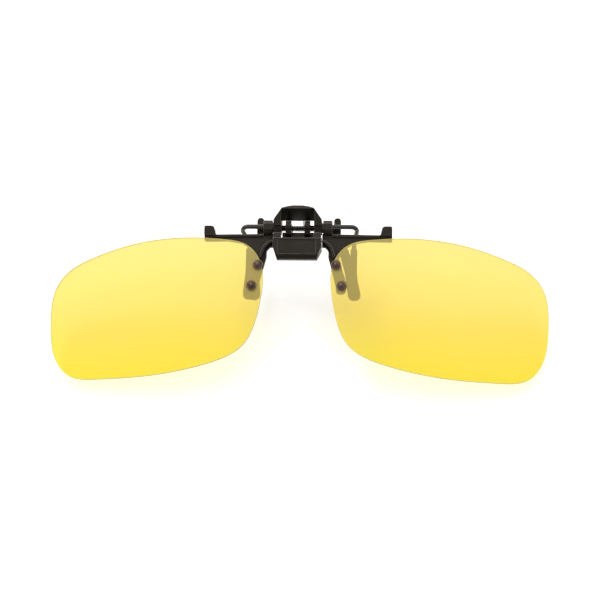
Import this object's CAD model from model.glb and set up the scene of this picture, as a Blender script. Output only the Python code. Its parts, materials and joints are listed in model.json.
import json
import math

import bpy
from mathutils import Matrix, Quaternion, Vector


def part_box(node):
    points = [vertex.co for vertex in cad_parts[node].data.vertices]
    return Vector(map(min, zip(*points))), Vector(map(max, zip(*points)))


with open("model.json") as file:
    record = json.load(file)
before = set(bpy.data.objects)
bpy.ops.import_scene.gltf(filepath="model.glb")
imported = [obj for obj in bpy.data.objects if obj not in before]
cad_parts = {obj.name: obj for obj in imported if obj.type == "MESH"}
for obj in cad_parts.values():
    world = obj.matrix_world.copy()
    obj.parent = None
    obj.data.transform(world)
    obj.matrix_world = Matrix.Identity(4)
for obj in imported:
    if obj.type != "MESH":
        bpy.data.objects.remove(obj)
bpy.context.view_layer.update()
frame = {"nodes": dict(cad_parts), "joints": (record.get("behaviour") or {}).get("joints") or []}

MM = 0.001
SIDES = ("left", "right")

# ---------------------------------------------------------------- places read from the frame

JOINTS = {joint["name"]: joint for joint in frame["joints"]}
HINGE = Vector(JOINTS["lens_flip"]["pos_m"])
LENS_LOW, LENS_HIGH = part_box("right_lens")


# ---------------------------------------------------------------- node helpers


class Shader:
    """A material's node tree with short calls for the nodes used here."""

    def __init__(self, name):
        self.material = bpy.data.materials.new(name)
        self.material.use_nodes = True
        self.tree = self.material.node_tree
        self.tree.nodes.clear()
        self.output = self.tree.nodes.new("ShaderNodeOutputMaterial")

    def node(self, kind, inputs=None, **settings):
        node = self.tree.nodes.new("ShaderNode" + kind)
        for key, value in settings.items():
            setattr(node, key, value)
        for key, value in (inputs or {}).items():
            if isinstance(value, bpy.types.NodeSocket):
                self.tree.links.new(value, node.inputs[key])
            else:
                node.inputs[key].default_value = value
        return node

    def coordinates(self):
        return self.node("TexCoord").outputs["Object"]

    def math(self, operation, first, second=0.0, clamp=False):
        node = self.node("Math", operation=operation, use_clamp=clamp)
        for index, value in enumerate((first, second)):
            if isinstance(value, bpy.types.NodeSocket):
                self.tree.links.new(value, node.inputs[index])
            else:
                node.inputs[index].default_value = value
        return node.outputs[0]

    def noise(self, scale, detail=3.0, roughness=0.5, vector=None):
        vector = vector or self.coordinates()
        return self.node("TexNoise", {"Vector": vector, "Scale": scale, "Detail": detail,
                                      "Roughness": roughness}).outputs["Fac"]

    def ramp(self, fac, stops):
        node = self.node("ValToRGB", {"Fac": fac})
        elements = node.color_ramp.elements
        while len(elements) < len(stops):
            elements.new(0.5)
        for element, (position, colour) in zip(elements, stops):
            element.position = position
            element.color = colour if len(colour) == 4 else (*colour, 1.0)
        return node.outputs["Color"]

    def spread(self, value, low, high, new_low=0.0, new_high=1.0):
        return self.node("MapRange", {"Value": value, "From Min": low, "From Max": high,
                                      "To Min": new_low, "To Max": new_high}).outputs["Result"]

    def mix_colour(self, fac, first, second, blend="MIX"):
        node = self.node("Mix", data_type="RGBA", blend_type=blend)
        for index, value in ((0, fac), (6, first), (7, second)):
            if isinstance(value, bpy.types.NodeSocket):
                self.tree.links.new(value, node.inputs[index])
            else:
                node.inputs[index].default_value = value
        return node.outputs[2]

    def bump(self, height, strength, distance):
        return self.node("Bump", {"Height": height, "Strength": strength,
                                  "Distance": distance}).outputs["Normal"]

    def direction_on_part(self, normal):
        """A surface normal's X, Y and Z measured along the part's own axes."""
        turned = self.node("VectorTransform", {"Vector": normal}, vector_type="NORMAL",
                           convert_from="WORLD", convert_to="OBJECT")
        return self.node("SeparateXYZ", {"Vector": turned.outputs["Vector"]})

    def rounded_normal(self, radius):
        return self.node("Bevel", {"Radius": radius}, samples=6).outputs["Normal"]

    def edge_mask(self, rounded, low, high):
        """One along sharp edges, from how much the rounded normal differs from the plain one."""
        plain = self.node("NewGeometry").outputs["Normal"]
        dot = self.node("VectorMath", {0: rounded, 1: plain}, operation="DOT_PRODUCT")
        return self.spread(self.math("SUBTRACT", 1.0, dot.outputs["Value"]), low, high)

    def crevices(self, reach):
        """One on open surfaces, falling towards zero in slots and corners."""
        return self.node("AmbientOcclusion", {"Distance": reach}, samples=6).outputs["AO"]

    def finish(self, surface):
        self.tree.links.new(surface, self.output.inputs["Surface"])
        return self.material


# ---------------------------------------------------------------- materials


def moulded_plastic():
    """Warm black moulded nylon: fine texture, flow marks, edges rubbed a little lighter."""
    s = Shader("moulded_plastic")
    cloud = s.noise(260.0, 4.0)
    grain = s.noise(5200.0, 2.0, 0.6)
    base = s.ramp(cloud, [(0.3, (0.009, 0.0075, 0.006)), (0.7, (0.017, 0.0145, 0.012))])
    rounded = s.rounded_normal(0.3 * MM)
    upward = s.spread(s.direction_on_part(rounded).outputs["Z"], -0.1, 0.45, 0.12, 0.8)
    rubbed = s.math("MULTIPLY", upward, s.spread(s.noise(900.0), 0.35, 0.65, 0.7, 1.0))
    worn = s.math("MULTIPLY", s.edge_mask(rounded, 0.02, 0.15), rubbed)
    colour = s.mix_colour(worn, base, (0.36, 0.33, 0.30, 1.0))
    open_air = s.spread(s.crevices(4.0 * MM), 0.1, 0.7, 0.25, 1.0)
    colour = s.mix_colour(open_air, (0.002, 0.0017, 0.0014, 1.0), colour)
    rough = s.spread(s.noise(700.0, 3.0), 0.3, 0.7, 0.36, 0.52)
    bump = s.bump(s.math("ADD", grain, s.math("MULTIPLY", cloud, 0.6)), 0.25, 0.03 * MM)
    shader = s.node("BsdfPrincipled", {"Base Color": colour, "Roughness": rough,
                                       "Specular IOR Level": s.math("MULTIPLY", open_air, 0.35),
                                       "Normal": bump, "Specular Tint": (1.0, 0.88, 0.74, 1.0)})
    return s.finish(shader.outputs["BSDF"])


def coated_wire():
    """Steel wire under gloss black coating."""
    s = Shader("coated_wire")
    cloud = s.noise(500.0, 3.0)
    colour = s.ramp(cloud, [(0.35, (0.016, 0.014, 0.012)), (0.7, (0.034, 0.030, 0.026))])
    rough = s.spread(s.noise(1600.0), 0.3, 0.7, 0.16, 0.3)
    bump = s.bump(s.noise(2600.0, 2.0), 0.12, 0.02 * MM)
    shader = s.node("BsdfPrincipled", {"Base Color": colour, "Roughness": rough, "Normal": bump,
                                       "Coat Weight": 0.6, "Coat Roughness": 0.12})
    return s.finish(shader.outputs["BSDF"])


def lens_face(s):
    """Polished face: tinted see-through sheet under a faint veil, tint deepening downwards."""
    position = s.node("SeparateXYZ", {"Vector": s.coordinates()})
    down = s.spread(position.outputs["Z"], LENS_HIGH.z, LENS_LOW.z)
    cloud = s.spread(s.noise(28.0, 2.0), 0.3, 0.7, -0.05, 0.05)
    depth = s.math("ADD", down, cloud, clamp=True)
    through = s.ramp(depth, [(0.0, (0.71, 0.645, 0.355)), (0.5, (0.72, 0.65, 0.30)),
                             (1.0, (0.74, 0.70, 0.175))])
    haze = s.ramp(depth, [(0.0, (0.395, 0.32, 0.105)), (0.5, (0.395, 0.31, 0.083)),
                          (1.0, (0.36, 0.275, 0.033))])
    near_face = s.math("SUBTRACT", 1.0, s.node("NewGeometry").outputs["Backfacing"])
    haze = s.mix_colour(near_face, (0.0, 0.0, 0.0, 1.0), haze)
    clear = s.node("BsdfTransparent", {"Color": through})
    veil = s.node("BsdfDiffuse", {"Color": haze})
    body = s.node("AddShader", {0: clear.outputs[0], 1: veil.outputs[0]})
    gloss = s.node("BsdfGlossy", {"Roughness": 0.12, "Color": (1.0, 0.98, 0.9, 1.0)})
    mirror = s.math("MULTIPLY", s.node("Fresnel", {"IOR": 1.35}).outputs["Fac"], near_face)
    return s.node("MixShader", {0: mirror, 1: body.outputs[0], 2: gloss.outputs[0]})


def lens_edge(s, upward):
    """Frosted cut edge, which catches the light along the top of the lens."""
    polish = s.noise(1500.0, 2.0)
    colour = s.ramp(polish, [(0.3, (0.27, 0.23, 0.15)), (0.7, (0.36, 0.31, 0.20))])
    caught = s.spread(upward, 0.2, 0.85, 0.0, 0.9)
    frost = s.node("BsdfPrincipled", {"Base Color": colour, "Roughness": 0.3,
                                      "Emission Color": (1.0, 0.90, 0.60, 1.0),
                                      "Emission Strength": caught})
    clear = s.node("BsdfTransparent", {"Color": (0.86, 0.80, 0.62, 1.0)})
    return s.node("MixShader", {0: 0.85, 1: clear.outputs[0], 2: frost.outputs[0]})


def lens_tint():
    """Clear yellow sheet with polished faces and a darker frosted cut edge."""
    s = Shader("lens_tint")
    normal = s.direction_on_part(s.node("NewGeometry").outputs["True Normal"])
    beside = s.spread(s.math("ABSOLUTE", normal.outputs["Y"]), 0.75, 0.55)
    face = lens_face(s)
    edge = lens_edge(s, normal.outputs["Z"])
    whole = s.node("MixShader", {0: beside, 1: face.outputs[0], 2: edge.outputs[0]})
    return s.finish(whole.outputs[0])


def rivet_metal():
    """Dark bronze plated dome with fine pitting."""
    s = Shader("rivet_metal")
    cloud = s.noise(1800.0, 3.0)
    colour = s.ramp(cloud, [(0.3, (0.075, 0.048, 0.042)), (0.7, (0.16, 0.105, 0.09))])
    rough = s.spread(s.noise(3000.0), 0.3, 0.7, 0.26, 0.4)
    bump = s.bump(s.noise(4200.0, 2.0), 0.2, 0.02 * MM)
    shader = s.node("BsdfPrincipled", {"Base Color": colour, "Metallic": 0.75, "Roughness": rough,
                                       "Normal": bump})
    return s.finish(shader.outputs["BSDF"])


def clear_washer():
    """Clear soft plastic ring."""
    s = Shader("clear_washer")
    cloud = s.noise(900.0, 2.0)
    clear = s.node("BsdfTransparent", {"Color": (0.93, 0.92, 0.88, 1.0)})
    rough = s.spread(cloud, 0.3, 0.7, 0.15, 0.3)
    skin = s.node("BsdfPrincipled", {"Base Color": (0.42, 0.30, 0.20, 1.0), "Roughness": rough,
                                     "Specular IOR Level": 0.2})
    mix = s.node("MixShader", {0: s.spread(cloud, 0.3, 0.7, 0.18, 0.28),
                               1: clear.outputs[0], 2: skin.outputs["BSDF"]})
    return s.finish(mix.outputs[0])


def soft_sleeve():
    """Smoky silicone, a little translucent, paler where it thins at the edges."""
    s = Shader("soft_sleeve")
    cloud = s.noise(350.0, 4.0)
    colour = s.ramp(cloud, [(0.3, (0.022, 0.020, 0.017)), (0.7, (0.036, 0.033, 0.029))])
    thin = s.math("MULTIPLY", s.edge_mask(s.rounded_normal(0.35 * MM), 0.02, 0.2), 0.9)
    colour = s.mix_colour(thin, colour, (0.60, 0.56, 0.46, 1.0))
    rough = s.spread(s.noise(1200.0), 0.3, 0.7, 0.38, 0.55)
    bump = s.bump(s.noise(3500.0, 2.0), 0.15, 0.02 * MM)
    shader = s.node("BsdfPrincipled", {"Base Color": colour, "Roughness": rough, "Normal": bump,
                                       "Subsurface Weight": 0.2, "Subsurface Scale": 0.6 * MM,
                                       "Specular IOR Level": 0.2})
    return s.finish(shader.outputs["BSDF"])


def dark_steel(name, streak_axis_scale):
    """Blackened steel with drawn streaks round the part."""
    s = Shader(name)
    stretched = s.node("Mapping", {"Vector": s.coordinates(), "Scale": streak_axis_scale})
    streak = s.noise(900.0, 4.0, vector=stretched.outputs["Vector"])
    colour = s.ramp(streak, [(0.3, (0.035, 0.032, 0.03)), (0.7, (0.10, 0.095, 0.09))])
    rough = s.spread(streak, 0.3, 0.7, 0.25, 0.42)
    bump = s.bump(streak, 0.2, 0.01 * MM)
    shader = s.node("BsdfPrincipled", {"Base Color": colour, "Metallic": 0.9, "Roughness": rough,
                                       "Normal": bump})
    return s.finish(shader.outputs["BSDF"])


def nylon_washer():
    """Black nylon washer, slightly scuffed."""
    s = Shader("nylon_washer")
    scuff = s.noise(2400.0, 3.0)
    colour = s.ramp(scuff, [(0.35, (0.02, 0.02, 0.02)), (0.8, (0.07, 0.068, 0.065))])
    shader = s.node("BsdfPrincipled", {"Base Color": colour, "Roughness": 0.5,
                                       "Normal": s.bump(scuff, 0.2, 0.02 * MM)})
    return s.finish(shader.outputs["BSDF"])


# ---------------------------------------------------------------- finish of the CAD nodes


SEAM_GAP = 0.002 * MM
SHARP_ANGLE = math.radians(32)


def dress(node, material, bevel=0.0):
    """Give a CAD node its material and soften its edges with modifiers."""
    part = frame["nodes"][node]
    part.data.materials.clear()
    part.data.materials.append(material)
    if bevel:
        weld = part.modifiers.new("join_seams", "WELD")
        weld.merge_threshold = SEAM_GAP
        soften = part.modifiers.new("soft_edges", "BEVEL")
        soften.width = bevel
        soften.segments = 3
        soften.limit_method = "ANGLE"
        soften.angle_limit = SHARP_ANGLE
        soften.harden_normals = False
        normals = part.modifiers.new("even_normals", "WEIGHTED_NORMAL")
        normals.keep_sharp = True


PLASTIC = moulded_plastic()
SLEEVE = soft_sleeve()
WIRE = coated_wire()
LENS = lens_tint()
RIVET = rivet_metal()
CLEAR = clear_washer()
NYLON = nylon_washer()

dress("front_jaw", PLASTIC, 0.09 * MM)
dress("rear_jaw_lever", PLASTIC, 0.12 * MM)
dress("hinge_shaft", dark_steel("shaft_steel", (0.1, 1.0, 1.0)))
dress("clamp_spring", dark_steel("spring_steel", (1.0, 1.0, 1.0)))
for side in SIDES:
    dress(f"{side}_lens_bracket", PLASTIC, 0.09 * MM)
    dress(f"{side}_lens", LENS)
    dress(f"{side}_lens_rivets", RIVET)
    dress(f"{side}_lens_washers", CLEAR)
    dress(f"{side}_friction_washer", NYLON)
    dress(f"{side}_rear_wire", WIRE)
    dress(f"{side}_rear_sleeve", SLEEVE)
    dress(f"{side}_front_sleeve", SLEEVE)


# ---------------------------------------------------------------- stage, light and camera

TABLE_TILT = math.radians(15)
TABLE_GAP = 0.6 * MM
TABLE_SIZE = 2.5

SURROUND_BELOW = 0.15
SURROUND_ABOVE = 0.95
LIGHTS_AIM = (0, 0, -0.02)
KEY_PLACE = (-0.1, -1.0, 0.75)
KEY_SIZE = 1.3
KEY_POWER = 8.5
SPARK_PLACE = (-0.3, -0.4, 0.6)
SPARK_SIZE = 0.16
SPARK_POWER = 1.6

CAMERA_AZIMUTH = math.radians(3.56)
CAMERA_ELEVATION = math.radians(-12.0)
CAMERA_ROLL = math.radians(1.18)
CAMERA_DISTANCE = 425.0 * MM
CAMERA_FOCAL = 98.1
CAMERA_AIM = HINGE + Vector((0.9, 0.0, -19.3)) * MM


def table_material():
    """White table top that the camera and lights behind it look straight through."""
    s = Shader("table_top")
    colour = s.ramp(s.noise(40.0, 3.0), [(0.3, (0.67, 0.67, 0.67)), (0.7, (0.69, 0.69, 0.69))])
    paper = s.node("BsdfDiffuse", {"Color": colour})
    glow = s.node("Emission", {"Color": (1.0, 1.0, 1.0, 1.0), "Strength": 0.55})
    lit = s.node("AddShader", {0: paper.outputs[0], 1: glow.outputs[0]})
    clear = s.node("BsdfTransparent")
    behind = s.node("NewGeometry").outputs["Backfacing"]
    mix = s.node("MixShader", {0: behind, 1: lit.outputs[0], 2: clear.outputs[0]})
    return s.finish(mix.outputs[0])


def open_sleeve_tip():
    """Lowest rear corner of a rear sleeve once the clamp is fully open."""
    low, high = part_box("right_rear_sleeve")
    corner = Vector((HINGE.x, high.y, low.z))
    opening = math.radians(JOINTS["clamp_open"]["range_deg"][1])
    swing = Matrix.Rotation(opening, 3, Vector(JOINTS["clamp_open"]["axis"]))
    return HINGE + swing @ (corner - HINGE)


def make_table():
    """Pale table top behind the object, leaning so that its lower part nears the lenses' rims."""
    half = TABLE_SIZE / 2
    mesh = bpy.data.meshes.new("table")
    corners = [(-half, 0, -half), (half, 0, -half), (half, 0, half), (-half, 0, half)]
    mesh.from_pydata(corners, [], [(0, 1, 2, 3)])
    table = bpy.data.objects.new("table", mesh)
    table.location = open_sleeve_tip() + Vector((0, TABLE_GAP, 0))
    table.rotation_euler = (-TABLE_TILT, 0, 0)
    bpy.context.scene.collection.objects.link(table)
    mesh.materials.append(table_material())


def area_light(name, place, size, power, mirrored):
    """Square soft light aimed at the object; only a mirrored one shows in glossy surfaces."""
    data = bpy.data.lights.new(name, "AREA")
    data.shape = "SQUARE"
    data.size = size
    data.energy = power
    lamp = bpy.data.objects.new(name, data)
    lamp.location = place
    lamp.rotation_mode = "QUATERNION"
    lamp.rotation_quaternion = (Vector(LIGHTS_AIM) - Vector(place)).to_track_quat("-Z", "Y")
    lamp.visible_glossy = mirrored
    bpy.context.scene.collection.objects.link(lamp)


def make_world():
    """Studio surround: bright above and dim below for the object, plain white for the camera."""
    world = bpy.data.worlds.new("studio")
    world.use_nodes = True
    tree = world.node_tree
    background = tree.nodes["Background"]
    direction = tree.nodes.new("ShaderNodeTexCoord")
    split = tree.nodes.new("ShaderNodeSeparateXYZ")
    height = tree.nodes.new("ShaderNodeMapRange")
    height.inputs["From Min"].default_value = -1.0
    height.inputs["From Max"].default_value = 1.0
    height.inputs["To Min"].default_value = SURROUND_BELOW
    height.inputs["To Max"].default_value = SURROUND_ABOVE
    tree.links.new(direction.outputs["Generated"], split.inputs["Vector"])
    tree.links.new(split.outputs["Z"], height.inputs["Value"])
    path = tree.nodes.new("ShaderNodeLightPath")
    strength = tree.nodes.new("ShaderNodeMix")
    strength.inputs["B"].default_value = 1.0
    tree.links.new(path.outputs["Is Camera Ray"], strength.inputs["Factor"])
    tree.links.new(height.outputs["Result"], strength.inputs["A"])
    tree.links.new(strength.outputs["Result"], background.inputs["Strength"])
    background.inputs["Color"].default_value = (1.0, 1.0, 1.0, 1.0)
    bpy.context.scene.world = world


def make_camera():
    """Viewpoint a little to the right and below the lenses' level, with a slight tilt."""
    back = Vector((math.sin(CAMERA_AZIMUTH) * math.cos(CAMERA_ELEVATION),
                   -math.cos(CAMERA_AZIMUTH) * math.cos(CAMERA_ELEVATION),
                   math.sin(CAMERA_ELEVATION)))
    data = bpy.data.cameras.new("camera")
    data.lens = CAMERA_FOCAL
    data.sensor_width = 36.0
    data.clip_start = 0.01
    camera = bpy.data.objects.new("camera", data)
    camera.location = CAMERA_AIM + back * CAMERA_DISTANCE
    camera.rotation_mode = "QUATERNION"
    tilt = Quaternion((0, 0, 1), CAMERA_ROLL)
    camera.rotation_quaternion = (-back).to_track_quat("-Z", "Y") @ tilt
    bpy.context.scene.collection.objects.link(camera)
    bpy.context.scene.camera = camera


make_table()
make_world()
area_light("key", KEY_PLACE, KEY_SIZE, KEY_POWER, False)
area_light("spark", SPARK_PLACE, SPARK_SIZE, SPARK_POWER, True)
make_camera()
bpy.context.scene.view_settings.view_transform = "Standard"
